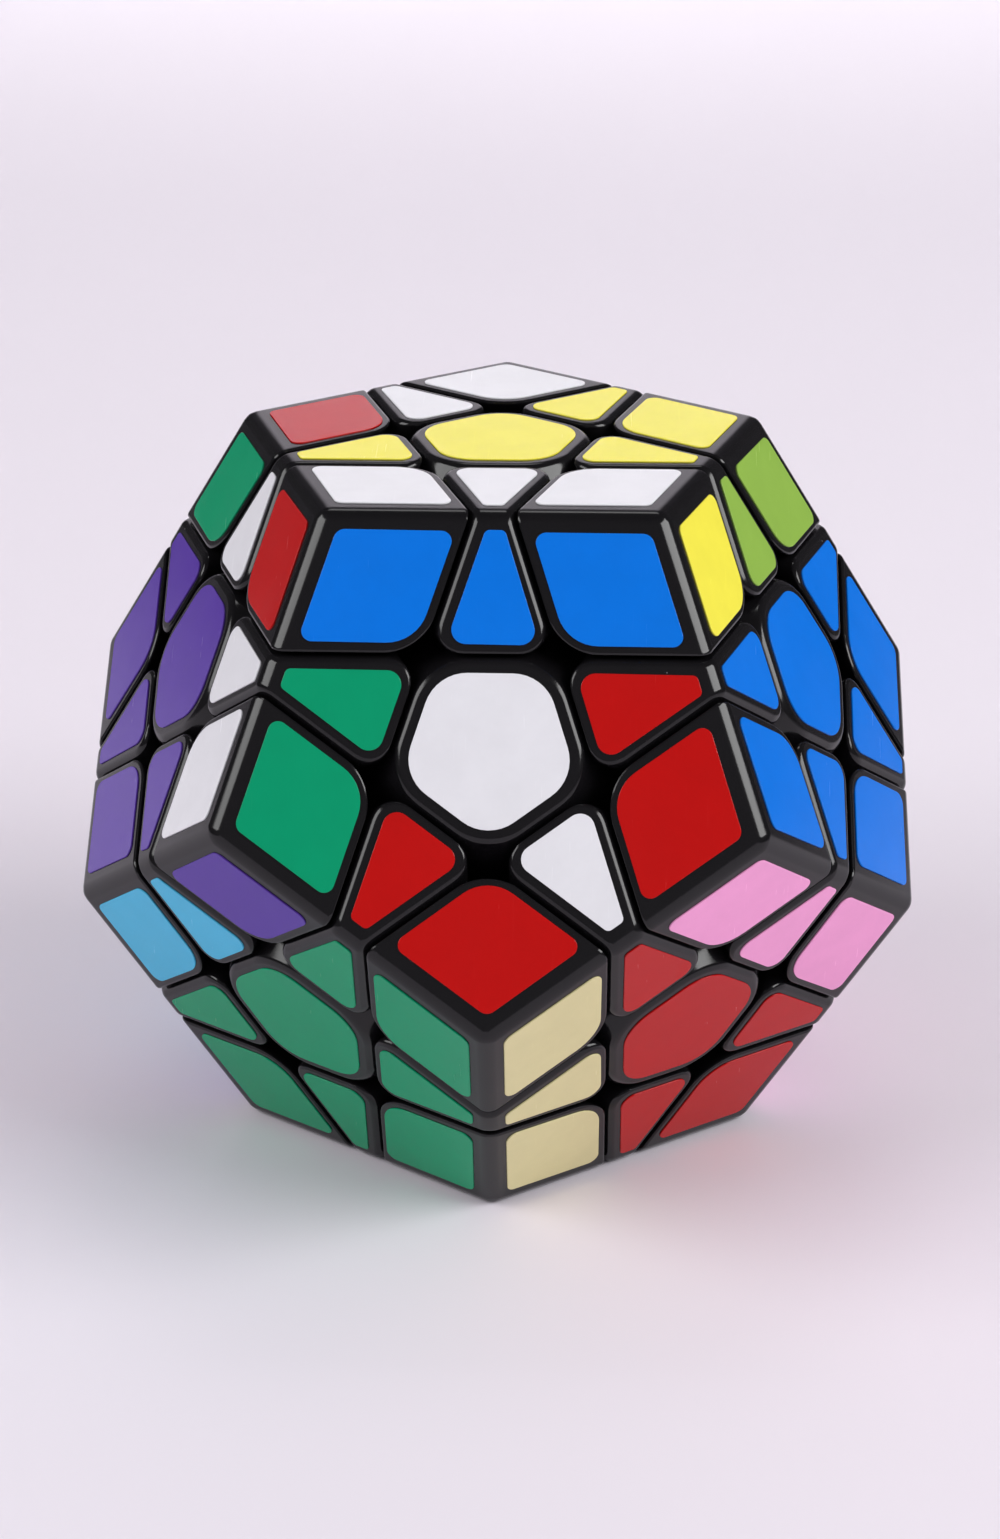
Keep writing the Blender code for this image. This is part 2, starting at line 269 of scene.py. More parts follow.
def combine(base, other, operation):
    """Boolean of two helpers. The result stays in the first, and the second is removed."""
    modifier = base.modifiers.new(operation.lower(), "BOOLEAN")
    modifier.operation = operation
    modifier.solver = "EXACT"
    modifier.object = other
    graph = bpy.context.evaluated_depsgraph_get()
    bm = bmesh.new()
    bm.from_mesh(base.evaluated_get(graph).data)
    bmesh.ops.remove_doubles(bm, verts=bm.verts, dist=WELD)
    bmesh.ops.dissolve_degenerate(bm, edges=bm.edges, dist=WELD)
    base.modifiers.clear()
    bm.to_mesh(base.data)
    bm.free()
    bpy.data.objects.remove(other)
    return base


def turned(name, profile, axis, reference, facets):
    """Solid of revolution. The profile's (radius, height) points start and end on the axis."""
    bm = bmesh.new()
    points = [bm.verts.new((radius, 0, height)) for radius, height in profile]
    lines = [bm.edges.new(pair) for pair in itertools.pairwise(points)]
    bmesh.ops.spin(
        bm, geom=points + lines, axis=(0, 0, 1), cent=(0, 0, 0), angle=math.tau, steps=facets
    )
    bmesh.ops.remove_doubles(bm, verts=bm.verts, dist=WELD)
    bmesh.ops.transform(bm, matrix=frame_along(axis, reference), verts=bm.verts)
    return helper(name, bm)


def cut_away(bm, normal, distance):
    everything = bm.verts[:] + bm.edges[:] + bm.faces[:]
    cut = bmesh.ops.bisect_plane(
        bm, geom=everything, plane_co=normal * distance, plane_no=normal, clear_outer=True
    )
    rim = [item for item in cut["geom_cut"] if isinstance(item, bmesh.types.BMEdge)]
    if rim:
        bmesh.ops.edgeloop_fill(bm, edges=rim)


def edges_between(bm, first, second):
    def lies_on(face, planes):
        centre = face.calc_center_median()
        return any(
            face.normal.dot(normal) > SAME_DIRECTION and abs(centre.dot(normal) - distance) < SAME_PLANE
            for normal, distance in planes
        )

    found = []
    for edge in bm.edges:
        one, two = edge.link_faces
        if (lies_on(one, first) and lies_on(two, second)) or (lies_on(two, first) and lies_on(one, second)):
            found.append(edge)
    return found


def bevel(bm, edges, width, steps):
    if edges:
        bmesh.ops.bevel(
            bm, geom=edges, offset=width, segments=steps, profile=0.5, affect="EDGES", clamp_overlap=True
        )
    bm.normal_update()


# Plastic pieces ----------------------------------------------------------------------------------------


def layer_core(colour, grow):
    def on_cone(angle, radius):
        return (
            radius * math.sin(angle) + grow * math.cos(angle),
            radius * math.cos(angle) - grow * math.sin(angle),
        )

    low = on_cone(FOOT_ANGLE, CONE_BOTTOM)
    top = NECK_TOP if grow < 0 else CUTTER_TOP
    profile = [
        (0, low[1]),
        low,
        on_cone(FOOT_ANGLE, FOOT_TOP - STEP_RISE + grow),
        on_cone(NECK_ANGLE, FOOT_TOP + STEP_RISE + grow),
        on_cone(NECK_ANGLE, top),
        (top * math.sin(NECK_ANGLE / 2), top * math.cos(NECK_ANGLE / 2)),
        (0, top),
    ]
    return turned("layer_core", profile, AXES[colour], AXES[neighbours(colour)[0]], LAYER_FACETS)


def visible_block(colours):
    inside = GAP / 2
    faces = [(AXES[c], FACE_DISTANCE) for c in colours]
    around = {other for c in colours for other in neighbours(c)} - set(colours)
    own_cuts = [(-AXES[c], -(CUT_DISTANCE + inside)) for c in colours]
    other_cuts = [(AXES[c], CUT_DISTANCE - inside) for c in sorted(around)]
    if len(colours) == 1:
        own_cuts = [(-AXES[colours[0]], -CAP_BOTTOM)]
    bm = bmesh.new()
    bmesh.ops.create_cube(bm, size=4 * SIDE)
    for normal, distance in faces + own_cuts + other_cuts:
        cut_away(bm, normal, distance)
    bm.normal_update()
    uprights = own_cuts if len(colours) > 1 else other_cuts
    rounding = UPRIGHT_ROUNDING[len(colours)]
    bevel(bm, edges_between(bm, uprights, other_cuts + uprights), rounding, UPRIGHT_STEPS)
    bevel(bm, edges_between(bm, faces, faces), RIDGE_ROUNDING, RIDGE_STEPS)
    bevel(bm, [edge for edge in bm.edges if is_rim(edge, colours)], RIM_ROUNDING, RIM_STEPS)
    return helper("block", bm)


def is_rim(edge, colours):
    """Whether just one of the edge's two sides belongs to the outer surface."""
    outwards = [
        any(side.normal.dot(AXES[colour]) > OUTWARD for colour in colours) for side in edge.link_faces
    ]
    return outwards[0] != outwards[1]


def inner_part(colours):
    solid = layer_core(colours[0], -INNER_GAP / 2)
    for colour in colours[1:]:
        combine(solid, layer_core(colour, -INNER_GAP / 2), "INTERSECT")
    bm = bmesh.new()
    bm.from_mesh(solid.data)
    cut_away(bm, -middle_of(colours), -FOOT_BOTTOM)
    if len(colours) == 2:
        for other in beside(colours):
            cut_away(bm, AXES[other], CUT_DISTANCE - GAP / 2 - INSET)
    bpy.data.objects.remove(solid)
    return helper("inner_part", bm)


def hooked_piece(colours):
    piece = combine(visible_block(colours), inner_part(colours), "UNION")
    if len(colours) == 2:
        for other in beside(colours):
            combine(piece, layer_core(other, INNER_GAP / 2), "DIFFERENCE")
    return piece


def centre_piece(colours):
    """Cap and stem of a centre."""
    colour = colours[0]
    centre = visible_block(colours)
    for other in neighbours(colour):
        combine(centre, layer_core(other, INNER_GAP / 2), "DIFFERENCE")
    profile = [(0, STEM_BOTTOM), (STEM_RADIUS, STEM_BOTTOM), (STEM_RADIUS, STEM_TOP), (0, STEM_TOP)]
    stem = turned("stem", profile, AXES[colour], AXES[neighbours(colour)[0]], STEM_FACETS)
    return combine(centre, stem, "UNION")


def hollow_out(centre, colour):
    """Cuts the chamber for spring and screw, and the screw hole below it, out of a turning centre."""
    hole_radius = SCREW_RADIUS + SCREW_CLEARANCE
    pocket = [
        (0, STEM_BOTTOM - OVERRUN),
        (hole_radius, STEM_BOTTOM - OVERRUN),
        (hole_radius, SHELF_TOP),
        (CHAMBER_RADIUS, SHELF_TOP),
        (CHAMBER_RADIUS, CHAMBER_TOP),
        (0, CHAMBER_TOP),
    ]
    reference = AXES[neighbours(colour)[0]]
    combine(centre, turned("pocket", pocket, AXES[colour], reference, STEM_FACETS), "DIFFERENCE")


def finish_surface(obj, sharp_angle=PLASTIC_SHARP_ANGLE):
    """Smooth shading that keeps flat faces flat and round edges round."""
    obj.data.shade_smooth()
    obj.data.set_sharp_from_angle(angle=sharp_angle)
    modifier = obj.modifiers.new("flat_faces", "WEIGHTED_NORMAL")
    modifier.keep_sharp = True
    modifier.weight = 100
    return obj


# Materials ---------------------------------------------------------------------------------------------

# Scales of noise and specks are in cells per metre. Pairs give the ends of a range.

SMUDGE_SCALE = 140
SMUDGE_RANGE = (0.3, 0.7)
GRAIN_SCALE = 5200
GRAIN_DEPTH = 0.004 * MM
WAVE_SCALE = 260
WAVE_DEPTH = 0.02 * MM
# Paler sharp edges, broken up by noise: a painted sheen on the ridges and rims
EDGE_SHEEN_SCALE = 420
EDGE_SHEEN_RANGE = (0.42, 0.62)
EDGE_SHEEN_POINTINESS = (0.52, 0.62)
EDGE_SHEEN_STRENGTH = 0.25
DUST_SCALE = 950
DUST_RADIUS = 0.09  # of a cell
DUST_SHARE = 0.008  # of the cells
DUST_STRENGTH = 0.4
DUST_ROUGHNESS = 0.3  # on top of the plastic's
DEEP_BLACK = (0.0045, 0.0042, 0.005, 1)
SMUDGED_BLACK = (0.0075, 0.007, 0.008, 1)
PAINTED_SHEEN_BLACK = (0.02, 0.02, 0.022, 1)
DUST_GREY = (0.25, 0.24, 0.25, 1)
PLASTIC_ROUGHNESS = (0.13, 0.18)
PLASTIC_IOR = 1.46

MOTTLE_SCALE = 230
MOTTLE_RANGE = (0.35, 0.65)
MOTTLE_SHADE = 0.96
SCRATCH_TURNS = (0.4, 1.5, 2.3)  # radians
SCRATCH_SCALE = 90
SCRATCH_STRETCH = (60, 1, 3)
SCRATCH_RANGE = (0.72, 0.76)
SCRATCH_SHADE = 1.05
SCRATCH_LIFT = 0.005
SCRATCH_STRENGTH = 0.3
SCRATCH_ROUGHNESS = 0.1  # on top of the film's
FILM_GLOSS_SCALE = 75
FILM_GLOSS_RANGE = (0.32, 0.68)
FILM_ROUGHNESS = (0.12, 0.2)
FILM_IOR = 1.45
FILM_SPECULAR = 0.38
PEEL_SCALE = 900
PEEL_DEPTH = 0.004 * MM
RIPPLE_SCALE = 110
RIPPLE_DEPTH = 0.03 * MM

STEEL_STRETCH = (1, 1, 6)
STEEL_DEPTH = 0.01 * MM
STEEL_RANGE = (0.3, 0.7)
STEEL_ROUGHNESS = (0.2, 0.38)
ZINC_SHADE = 0.62
ZINC_LINES = 3000
WIRE_SHADE = 0.45
WIRE_LINES = 5000


def linear(hexadecimal):
    """Linear RGBA of an sRGB colour written as six hexadecimal digits."""
    values = [int(hexadecimal[i : i + 2], 16) / 255 for i in (0, 2, 4)]
    return (*(v / 12.92 if v <= 0.04045 else ((v + 0.055) / 1.055) ** 2.4 for v in values), 1)


def shade(colour, factor, lift=0.0):
    """The colour times a factor, plus a lift, with its alpha kept at one."""
    return (*(min(1, value * factor + lift) for value in colour[:3]), 1)


class Nodes:
    """Short calls for building the node tree of a material or a world."""

    def __init__(self, owner, shader, coordinates):
        self.owner = owner
        owner.use_nodes = True
        self.tree = owner.node_tree
        self.shader = self.tree.nodes[shader]
        self.place = self.add("ShaderNodeTexCoord").outputs[coordinates]

    @classmethod
    def of_material(cls, name):
        return cls(bpy.data.materials.new(name), "Principled BSDF", "Object")

    def add(self, kind, **settings):
        node = self.tree.nodes.new(kind)
        for key, value in settings.items():
            setattr(node, key, value)
        return node

    def give(self, socket, value):
        """Links a socket's output to the input, or sets the input to a plain value."""
        if isinstance(value, bpy.types.NodeSocket):
            self.tree.links.new(value, socket)
        else:
            socket.default_value = value

    def set(self, name, value):
        self.give(self.shader.inputs[name], value)

    def noise(self, scale, detail=3, roughness=0.5, stretch=None):
        """Noise, stretched if asked by a (rotation, scale) pair."""
        node = self.add("ShaderNodeTexNoise")
        place = self.place
        if stretch:
            mapping = self.add("ShaderNodeMapping")
            self.give(mapping.inputs["Rotation"], stretch[0])
            self.give(mapping.inputs["Scale"], stretch[1])
            self.give(mapping.inputs["Vector"], place)
            place = mapping.outputs["Vector"]
        self.give(node.inputs["Vector"], place)
        self.give(node.inputs["Scale"], scale)
        self.give(node.inputs["Detail"], detail)
        self.give(node.inputs["Roughness"], roughness)
        return node.outputs["Fac"]

    def specks(self, scale, radius, share):
        """1 on small round specks in this share of the cells, 0 elsewhere."""
        cells = self.add("ShaderNodeTexVoronoi")
        self.give(cells.inputs["Scale"], scale)
        self.give(cells.inputs["Vector"], self.place)
        near = self.calculate("LESS_THAN", cells.outputs["Distance"], radius)
        split = self.add("ShaderNodeSeparateColor")
        self.give(split.inputs["Color"], cells.outputs["Color"])
        chosen = self.calculate("LESS_THAN", split.outputs["Red"], share)
        return self.calculate("MULTIPLY", near, chosen)

    def along(self, axis):
        """The coordinate along X, Y or Z."""
        split = self.add("ShaderNodeSeparateXYZ")
        self.give(split.inputs["Vector"], self.place)
        return split.outputs[axis]

    def ramp(self, source, limits, ends=(0, 1)):
        """Maps source from the limits to the ends, held beyond them."""
        node = self.add("ShaderNodeMapRange")
        names = ("From Min", "From Max", "To Min", "To Max")
        for name, value in zip(names, (*limits, *ends)):
            self.give(node.inputs[name], value)
        self.give(node.inputs["Value"], source)
        return node.outputs["Result"]

    def mix(self, factor, first, second):
        node = self.add("ShaderNodeMix", data_type="RGBA")
        factor_input, first_input, second_input = node.inputs[0], node.inputs[6], node.inputs[7]
        self.give(factor_input, factor)
        self.give(first_input, first)
        self.give(second_input, second)
        return node.outputs[2]

    def calculate(self, operation, first, second=0.0):
        node = self.add("ShaderNodeMath", operation=operation)
        self.give(node.inputs[0], first)
        self.give(node.inputs[1], second)
        return node.outputs[0]

    def bump(self, layers):
        """Chains bumps given as (height, depth in metres, strength)."""
        normal = None
        for height, depth, strength in layers:
            node = self.add("ShaderNodeBump")
            self.give(node.inputs["Height"], height)
            self.give(node.inputs["Distance"], depth)
            self.give(node.inputs["Strength"], strength)
            if normal:
                self.give(node.inputs["Normal"], normal)
            normal = node.outputs["Normal"]
        self.set("Normal", normal)


def black_plastic():
    """Moulded ABS: fine grain, uneven gloss, a painted sheen that makes the sharp edges slightly paler, and a
    few dust specks.
    """
    n = Nodes.of_material("black_plastic")
    smudge = n.noise(SMUDGE_SCALE, detail=4, roughness=0.6)
    # Painted sheen: sharp edges, found by pointiness, turn a slightly paler grey where the noise allows
    edges = n.ramp(n.add("ShaderNodeNewGeometry").outputs["Pointiness"], EDGE_SHEEN_POINTINESS)
    painted_sheen = n.calculate("MULTIPLY", edges, n.ramp(n.noise(EDGE_SHEEN_SCALE, detail=4), EDGE_SHEEN_RANGE))
    dust = n.specks(DUST_SCALE, DUST_RADIUS, DUST_SHARE)
    base = n.mix(smudge, DEEP_BLACK, SMUDGED_BLACK)
    base = n.mix(n.calculate("MULTIPLY", painted_sheen, EDGE_SHEEN_STRENGTH), base, PAINTED_SHEEN_BLACK)
    base = n.mix(n.calculate("MULTIPLY", dust, DUST_STRENGTH), base, DUST_GREY)
    gloss = n.ramp(smudge, SMUDGE_RANGE, PLASTIC_ROUGHNESS)
    n.set("Base Color", base)
    n.set("Roughness", n.calculate("ADD", gloss, n.calculate("MULTIPLY", dust, DUST_ROUGHNESS)))
    n.set("IOR", PLASTIC_IOR)
    n.bump(
        [
            (n.noise(GRAIN_SCALE, detail=2), GRAIN_DEPTH, 0.25),
            (n.noise(WAVE_SCALE, detail=2), WAVE_DEPTH, 0.15),
        ]
    )
    return n.owner


def vinyl(colour):
    """Sticker film: even colour, slight orange peel, hairline scratches and uneven gloss."""
    n = Nodes.of_material("vinyl_" + colour)
    value = linear(STICKER_COLOURS[colour])
    mottle = n.ramp(n.noise(MOTTLE_SCALE, detail=4, roughness=0.6), MOTTLE_RANGE)
    base = n.mix(mottle, shade(value, MOTTLE_SHADE), value)
    scratch = 0.0
    for turn in SCRATCH_TURNS:
        stretch = ((turn, 0.7 * turn, turn), SCRATCH_STRETCH)
        streaks = n.ramp(n.noise(SCRATCH_SCALE, detail=2, roughness=0.4, stretch=stretch), SCRATCH_RANGE)
        scratch = n.calculate("MAXIMUM", streaks, scratch)
    paler = shade(value, SCRATCH_SHADE, SCRATCH_LIFT)
    n.set("Base Color", n.mix(n.calculate("MULTIPLY", scratch, SCRATCH_STRENGTH), base, paler))
    gloss = n.ramp(n.noise(FILM_GLOSS_SCALE), FILM_GLOSS_RANGE, FILM_ROUGHNESS)
    n.set("Roughness", n.calculate("ADD", gloss, n.calculate("MULTIPLY", scratch, SCRATCH_ROUGHNESS)))
    n.set("IOR", FILM_IOR)
    n.set("Specular IOR Level", FILM_SPECULAR)
    n.bump(
        [
            (n.noise(PEEL_SCALE, detail=2), PEEL_DEPTH, 0.25),
            (n.noise(RIPPLE_SCALE, detail=1), RIPPLE_DEPTH, 0.25),
        ]
    )
    return n.owner


def steel(name, brightness, lines):
    """Drawn or plated steel, with fine lines across Z."""
    n = Nodes.of_material(name)
    streaks = n.noise(lines, stretch=((0, 0, 0), STEEL_STRETCH))
    low = (brightness * 0.8, brightness * 0.8, brightness * 0.82, 1)
    high = (brightness, brightness, brightness * 1.03, 1)
    n.set("Base Color", n.mix(streaks, low, high))
    n.set("Metallic", 1.0)
    n.set("Roughness", n.ramp(streaks, STEEL_RANGE, STEEL_ROUGHNESS))
    n.bump([(streaks, STEEL_DEPTH, 0.3)])
    return n.owner


# Stickers ----------------------------------------------------------------------------------------------


def rounded_outline(corners, radii):
    """Points round a convex polygon whose corners are arcs of the given radii."""
    outline = []
    for place, corner in enumerate(corners):
        before = (corners[place - 1] - corner).normalized()
        after = (corners[(place + 1) % len(corners)] - corner).normalized()
        half = before.angle(after) / 2
        radius = radii[place]
        centre = corner + (before + after).normalized() * radius / math.sin(half)
        start = corner + before * radius / math.tan(half) - centre
        sweep = math.pi - 2 * half
        for step in range(OUTLINE_STEPS + 1):
            turn = Matrix.Rotation(sweep * step / OUTLINE_STEPS, 2)
            outline.append(centre + turn @ start)
    return outline


def inset_corners(lines):
    """Corner points of the convex polygon inside lines given as (2D outward normal, distance)."""
    corners = []
    for (n1, d1), (n2, d2) in zip(lines, lines[1:] + lines[:1]):
        det = n1.x * n2.y - n1.y * n2.x
        corners.append(Vector(((d1 * n2.y - d2 * n1.y) / det, (n1.x * d2 - n2.x * d1) / det)))
    return corners


def in_plane(azimuth):
    return Vector((math.cos(azimuth), math.sin(azimuth)))


FACE_INRADIUS = SIDE / 2 / math.tan(math.radians(36))
CUT_INRADIUS = FACE_INRADIUS - STRIP_WIDTH


def sticker_outline(kind):
    """Outline on a face, with the puzzle face's centre at the origin.

    A centre's sticker is the middle pentagon, an edge's sticker points along +X, and a corner's sticker
    lies in the direction of +X too, between the ridges at plus and minus 36 degrees.
    """
    fifth = math.radians(72)
    cut = CUT_INRADIUS + CUT_MARGIN
    if kind == "centre":
        lines = [(in_plane(place * fifth), CUT_INRADIUS - CENTRE_MARGIN) for place in range(5)]
        return rounded_outline(inset_corners(lines), [CENTRE_RADIUS] * 5)
    if kind == "edge":
        lines = [
            (in_plane(0), FACE_INRADIUS - EDGE_RIDGE_MARGIN),
            (in_plane(fifth), CUT_INRADIUS - CUT_MARGIN),
            (-in_plane(0), -cut),
            (in_plane(-fifth), CUT_INRADIUS - CUT_MARGIN),
        ]
        return rounded_outline(inset_corners(lines), EDGE_RADII)
    half = fifth / 2
    lines = [
        (in_plane(-half), FACE_INRADIUS - CORNER_RIDGE_MARGIN),
        (in_plane(half), FACE_INRADIUS - CORNER_RIDGE_MARGIN),
        (-in_plane(-half), -cut),
        (-in_plane(half), -cut),
    ]
    return rounded_outline(inset_corners(lines), CORNER_RADII)


def sticker_mesh(kind):
    """Thin sheet with its rim rounded over, in the face's own frame: +Z outwards, face centre on the axis."""
    bm = bmesh.new()
    low = FACE_DISTANCE - STICKER_SINK
    ring = [bm.verts.new((p.x, p.y, low)) for p in sticker_outline(kind)]
    bottom = bm.faces.new(ring)
    bm.normal_update()
    if bottom.normal.z < 0:
        bottom.normal_flip()
    result = bmesh.ops.extrude_face_region(bm, geom=[bottom])
    top = [v for v in result["geom"] if isinstance(v, bmesh.types.BMVert)]
    bmesh.ops.translate(bm, vec=(0, 0, STICKER_THICKNESS + STICKER_SINK), verts=top)
    bm.normal_update()
    level = low + STICKER_THICKNESS
    rim = [e for e in bm.edges if all(v.co.z > level for v in e.verts)]
    bevel(bm, rim, STICKER_RIM, STICKER_RIM_STEPS)
    bmesh.ops.recalc_face_normals(bm, faces=bm.faces)
    mesh = bpy.data.meshes.new("sticker_" + kind)
    bm.to_mesh(mesh)
    bm.free()
    return mesh


KIND = {1: "centre", 2: "edge", 3: "corner"}


def sticker_colours():
    """(piece's faces, face) to the colour of the sticker there."""
    colours = {}
    for size in (1, 2, 3):
        for group in [(c,) for c in AXES] if size == 1 else groups_of(size):
            for face in group:
                colours[frozenset(group), face] = face
    for entry in SCRAMBLED:
        pairs = [pair.split("=") for pair in entry.split()]
        group = frozenset(face for face, _ in pairs)
        for face, colour in pairs:
            assert (group, face) in colours, entry
            colours[group, face] = colour
    return colours


def sticker_frame(group, face):
    """Face frame whose +X points from the face's centre towards the piece."""
    if len(group) == 1:
        return piece_frame(group)
    return frame_along(AXES[face], middle_of(group))


# Assembly ----------------------------------------------------------------------------------------------


def body_of_node(node):
    return frame["nodes"][node]["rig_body"]


def copy_in_place(name, mesh, matrix):
    """A new object whose mesh holds its place, so that textures run on from piece to piece."""
    mesh = mesh.copy()
    mesh.transform(matrix)
    obj = bpy.data.objects.new(name, mesh)
    bpy.context.scene.collection.objects.link(obj)
    return obj


def add_plastic(plastic):
    """Centres, edges and corners, each kind from one template that is turned into its places."""
    kinds = (
        ([(c,) for c in AXES], centre_piece),
        (groups_of(2), hooked_piece),
        (groups_of(3), hooked_piece),
    )
    for groups, build in kinds:
        template = build(groups[0])
        template.data.materials.clear()
        template.data.materials.append(plastic)
        back = piece_frame(groups[0]).inverted()
        for colours in groups:
            node = "_".join((KIND[len(colours)], *colours))
            piece = copy_in_place("plastic_" + node, template.data, piece_frame(colours) @ back)
            if node in frame["nodes"] and len(colours) == 1:
                hollow_out(piece, colours[0])
            finish_surface(piece)
            if node in frame["nodes"]:
                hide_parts(node)
                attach(piece, body_of_node(node))
            else:
                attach(piece, body_of_node("core_with_fixed_centres"))
        bpy.data.objects.remove(template)


def add_core(plastic):
    """The core's ball and its twelve posts, three of them bored for the screws."""
    steps = CORE_FACETS // 2
    profile = [(0, -CORE_RADIUS)]
    for step in range(1, steps):
        angle = math.pi * step / steps
        profile.append((CORE_RADIUS * math.sin(angle), -CORE_RADIUS * math.cos(angle)))
    profile.append((0, CORE_RADIUS))
    core = turned("plastic_core", profile, AXES["yellow"], AXES["white"], CORE_FACETS)
    top = STEM_BOTTOM - POST_CLEARANCE
    bore_radius = SCREW_RADIUS + SCREW_CLEARANCE / 2
    bore_bottom = SCREW_TIP - SCREW_CLEARANCE
    bore = [
        (0, bore_bottom),
        (bore_radius, bore_bottom),
        (bore_radius, top + OVERRUN),
        (0, top + OVERRUN),
    ]
    for colour in AXES:
        post = [
            (0, 0),
            (STEM_RADIUS, 0),
            (STEM_RADIUS, top - POST_CHAMFER),
            (STEM_RADIUS - POST_CHAMFER, top),
            (0, top),
        ]
        reference = AXES[neighbours(colour)[0]]
        combine(core, turned("post", post, AXES[colour], reference, STEM_FACETS), "UNION")
        if "tension_screw_" + colour in frame["nodes"]:
            combine(core, turned("bore", bore, AXES[colour], reference, STEM_FACETS), "DIFFERENCE")
    core.data.materials.append(plastic)
    finish_surface(core)
    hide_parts("core_with_fixed_centres")
    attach(core, body_of_node("core_with_fixed_centres"))


def add_stickers():
    chance = random.Random(STICKER_SEED)
    meshes = {kind: sticker_mesh(kind) for kind in KIND.values()}
    films = {colour: vinyl(colour) for colour in STICKER_COLOURS}
    places = sorted(sticker_colours().items(), key=lambda item: (sorted(item[0][0]), item[0][1]))
    for (members, face), colour in places:
        group = tuple(c for c in AXES if c in members)
        kind = KIND[len(group)]
        node = "_".join((kind, *group))
        turn = Matrix.Rotation(math.radians(chance.uniform(-STICKER_TURN, STICKER_TURN)), 4, "Z")
        aside, ahead = (chance.uniform(-STICKER_SHIFT, STICKER_SHIFT) for _ in range(2))
        shift = Matrix.Translation((aside, ahead, 0))
        matrix = sticker_frame(group, face) @ shift @ turn
        name = "_".join(("sticker", kind, *group, "on", face))
        sticker = copy_in_place(name, meshes[kind], matrix)
        sticker.data.materials.append(films[colour])
        finish_surface(sticker, STICKER_SHARP_ANGLE)
        owner = node if node in frame["nodes"] else "core_with_fixed_centres"
        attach(sticker, body_of_node(owner))


def dress_cad_parts():
    """The screws and springs keep their own meshes and get steel."""
    zinc = steel("zinc_steel", ZINC_SHADE, ZINC_LINES)
    wire = steel("spring_steel", WIRE_SHADE, WIRE_LINES)
    for name, node in frame["nodes"].items():
        if name.startswith("tension_"):
            node.data.materials.clear()
            node.data.materials.append(zinc if "screw" in name else wire)


# Studio ------------------------------------------------------------------------------------------------

# Lengths in metres. The softboxes stand on both sides at the same azimuth, elevation and distance.
SOFTBOX_AZIMUTH = math.radians(72)
SOFTBOX_ELEVATION = math.radians(35)
SOFTBOX_DISTANCE = 1.0
SOFTBOX_SIZE = (0.76, 0.46)
SOFTBOX_WATTS = {"right": 7.1, "left": 4.9}

PAPER_HALF_WIDTH = 0.95
PAPER_FRONT = -1.0
BACKDROP_DISTANCE = 1.6
BACKDROP_CURVE = 0.9  # radius between floor and backdrop
BACKDROP_HEIGHT = 2.6
CURVE_STEPS = 16

PALE_PAPER = "E8E2EA"
# Painted dark reflection: the colour the paper takes in reflections only, standing in for black cards beside
# and above the set
PAINTED_DARK_REFLECTION = "4A484C"
PAPER_SHADE = 0.985
DARK_REFLECTION_CENTRE = -0.06  # the painted dark reflections keep equal distances from this X
DARK_REFLECTION_RANGE = (0.26, 0.5)  # from there, where they start and where they are full
DARK_REFLECTION_SHARES = (0.2, 1)
DARK_REFLECTION_HEIGHTS = (0.05, 0.45)
HIGH_DARK_REFLECTION_SHARES = (0, 0.36)

AIR_COLOUR = "EDE9F0"
AIR_STRENGTH = 0.43  # for diffuse light
SEEN_AIR_STRENGTH = 0.93
MIRRORED_AIR = (0.21, 0.07)  # in front and elsewhere
MIRRORED_AIR_LIMITS = (-0.9, -0.1)  # along Y

CAMERA_ELEVATION = math.radians(23.4)
CAMERA_AZIMUTH = math.radians(1.75)
CAMERA_DISTANCE = 11.24 * SIDE
LENS = 126  # in millimetres, as is the sensor
SENSOR_WIDTH = 36
NEAREST = 0.01


def backdrop_paper():
    """Pale matt paper, faintly uneven. Mirrored in the puzzle, its far sides and its top are painted dark, a
    painted dark reflection like that of black cards beside and above the set, so that the plastic stays
    black."""
    n = Nodes.of_material("pale_paper")
    pale = linear(PALE_PAPER)
    paper = n.mix(n.noise(6, detail=2), shade(pale, PAPER_SHADE), pale)
    off_centre = n.calculate("ABSOLUTE", n.calculate("SUBTRACT", n.along("X"), DARK_REFLECTION_CENTRE))
    sideways = n.ramp(off_centre, DARK_REFLECTION_RANGE, DARK_REFLECTION_SHARES)
    upwards = n.ramp(n.along("Z"), DARK_REFLECTION_HEIGHTS, HIGH_DARK_REFLECTION_SHARES)
    # Painted dark reflection: on glossy rays only, the paper's far sides and top turn dark grey
    mirrored = n.add("ShaderNodeLightPath").outputs["Is Glossy Ray"]
    dark = n.calculate("MULTIPLY", n.calculate("MAXIMUM", sideways, upwards), mirrored)
    n.set("Base Color", n.mix(dark, paper, linear(PAINTED_DARK_REFLECTION)))
    n.set("Roughness", 0.75)
    n.set("Specular IOR Level", 0.2)
    return n.owner


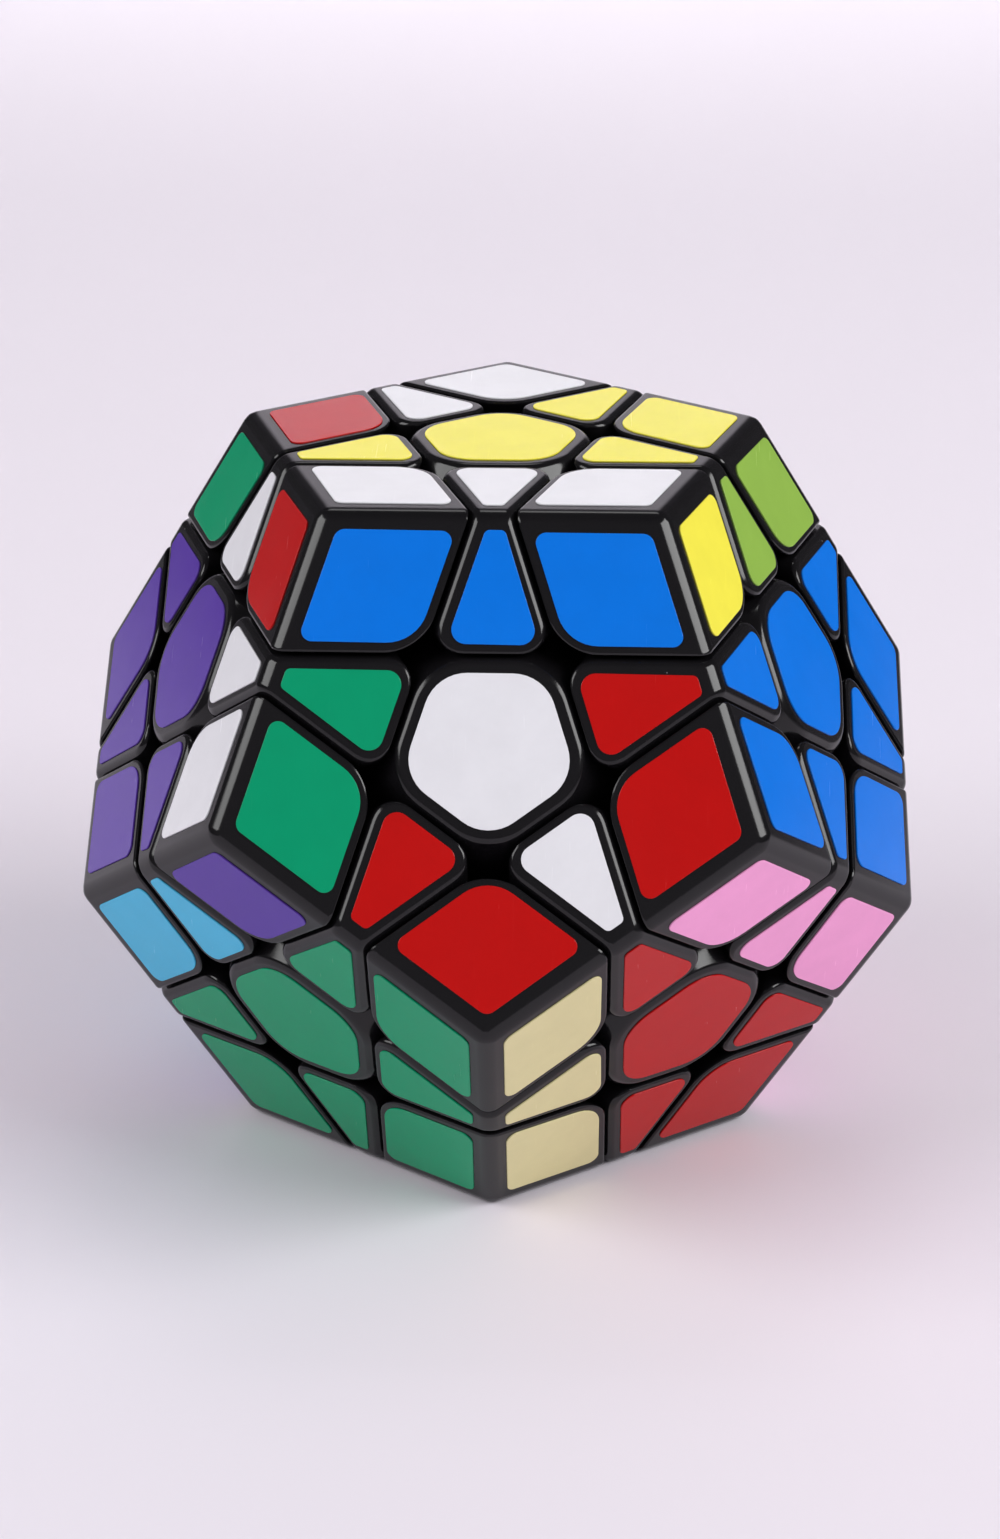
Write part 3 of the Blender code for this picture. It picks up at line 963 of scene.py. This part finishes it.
def add_stage():
    """A floor that curves up into a backdrop."""
    floor = -FACE_DISTANCE
    curve_start = BACKDROP_DISTANCE - BACKDROP_CURVE
    profile = [(PAPER_FRONT, floor), (curve_start, floor)]
    for step in range(1, CURVE_STEPS + 1):
        angle = math.radians(90) * step / CURVE_STEPS
        away = BACKDROP_CURVE * math.sin(angle)
        rise = BACKDROP_CURVE * (1 - math.cos(angle))
        profile.append((curve_start + away, floor + rise))
    profile.append((BACKDROP_DISTANCE, floor + BACKDROP_HEIGHT))
    bm = bmesh.new()
    sides = (-PAPER_HALF_WIDTH, PAPER_HALF_WIDTH)
    rows = [[bm.verts.new((x, y, z)) for y, z in profile] for x in sides]
    for place in range(len(profile) - 1):
        bm.faces.new((rows[0][place], rows[1][place], rows[1][place + 1], rows[0][place + 1]))
    stage = helper("studio_floor", bm)
    stage.data.shade_smooth()
    stage.data.materials.append(backdrop_paper())


def add_light(name, place, target, size, watts, spread=math.pi):
    data = bpy.data.lights.new(name, "AREA")
    data.shape = "RECTANGLE"
    data.size, data.size_y = size
    data.energy = watts
    data.spread = spread
    light = bpy.data.objects.new(name, data)
    light.location = place
    light.rotation_euler = (Vector(target) - Vector(place)).to_track_quat("-Z", "Y").to_euler()
    bpy.context.scene.collection.objects.link(light)


def add_softbox(side):
    azimuth = SOFTBOX_AZIMUTH if side == "right" else -SOFTBOX_AZIMUTH
    place = direction(azimuth, math.radians(90) - SOFTBOX_ELEVATION) * SOFTBOX_DISTANCE
    add_light(side + "_softbox", place, (0, 0, 0), SOFTBOX_SIZE, SOFTBOX_WATTS[side])


def add_backdrop_lights():
    """One light on the backdrop and a weak, narrow one on the floor behind the puzzle."""
    add_light(
        "backdrop_light",
        place=(0, 0.45, 1.1),
        target=(0, BACKDROP_DISTANCE, 0.25),
        size=(0.6, 0.3),
        watts=7.0,
        spread=math.radians(110),
    )
    add_light(
        "floor_light",
        place=(0, 0.62, 1.15),
        target=(0, 0.57, -FACE_DISTANCE),
        size=(0.5, 0.3),
        watts=0.5,
        spread=math.radians(72),
    )


def add_air():
    """Even light from all round, pale where it's seen past the paper. Mirrored, it is dim, and dimmest
    away from the camera's side, as in a dark room behind the lights."""
    n = Nodes(bpy.data.worlds.new("studio_air"), "Background", "Generated")
    rays = n.add("ShaderNodeLightPath")
    whole = (0, 1)
    direct = n.ramp(rays.outputs["Is Camera Ray"], whole, (AIR_STRENGTH, SEEN_AIR_STRENGTH))
    mirrored = n.ramp(n.along("Y"), MIRRORED_AIR_LIMITS, MIRRORED_AIR)
    n.set("Color", linear(AIR_COLOUR))
    n.set("Strength", n.ramp(rays.outputs["Is Glossy Ray"], whole, (direct, mirrored)))
    bpy.context.scene.world = n.owner


def add_studio():
    add_stage()
    add_softbox("right")
    add_softbox("left")
    add_backdrop_lights()
    add_air()
    bpy.context.scene.view_settings.view_transform = "Standard"


def add_camera():
    """Looks down at the white face from a little above, close enough for a clear perspective."""
    data = bpy.data.cameras.new("camera")
    data.sensor_fit = "HORIZONTAL"
    data.sensor_width = SENSOR_WIDTH
    data.lens = LENS
    data.clip_start = NEAREST
    camera = bpy.data.objects.new("camera", data)
    back = direction(CAMERA_AZIMUTH, math.radians(90) - CAMERA_ELEVATION)
    camera.location = back * CAMERA_DISTANCE
    camera.rotation_euler = (-back).to_track_quat("-Z", "Y").to_euler()
    bpy.context.scene.collection.objects.link(camera)
    bpy.context.scene.camera = camera


plastic = black_plastic()
add_plastic(plastic)
add_core(plastic)
add_stickers()
dress_cad_parts()
add_studio()
add_camera()
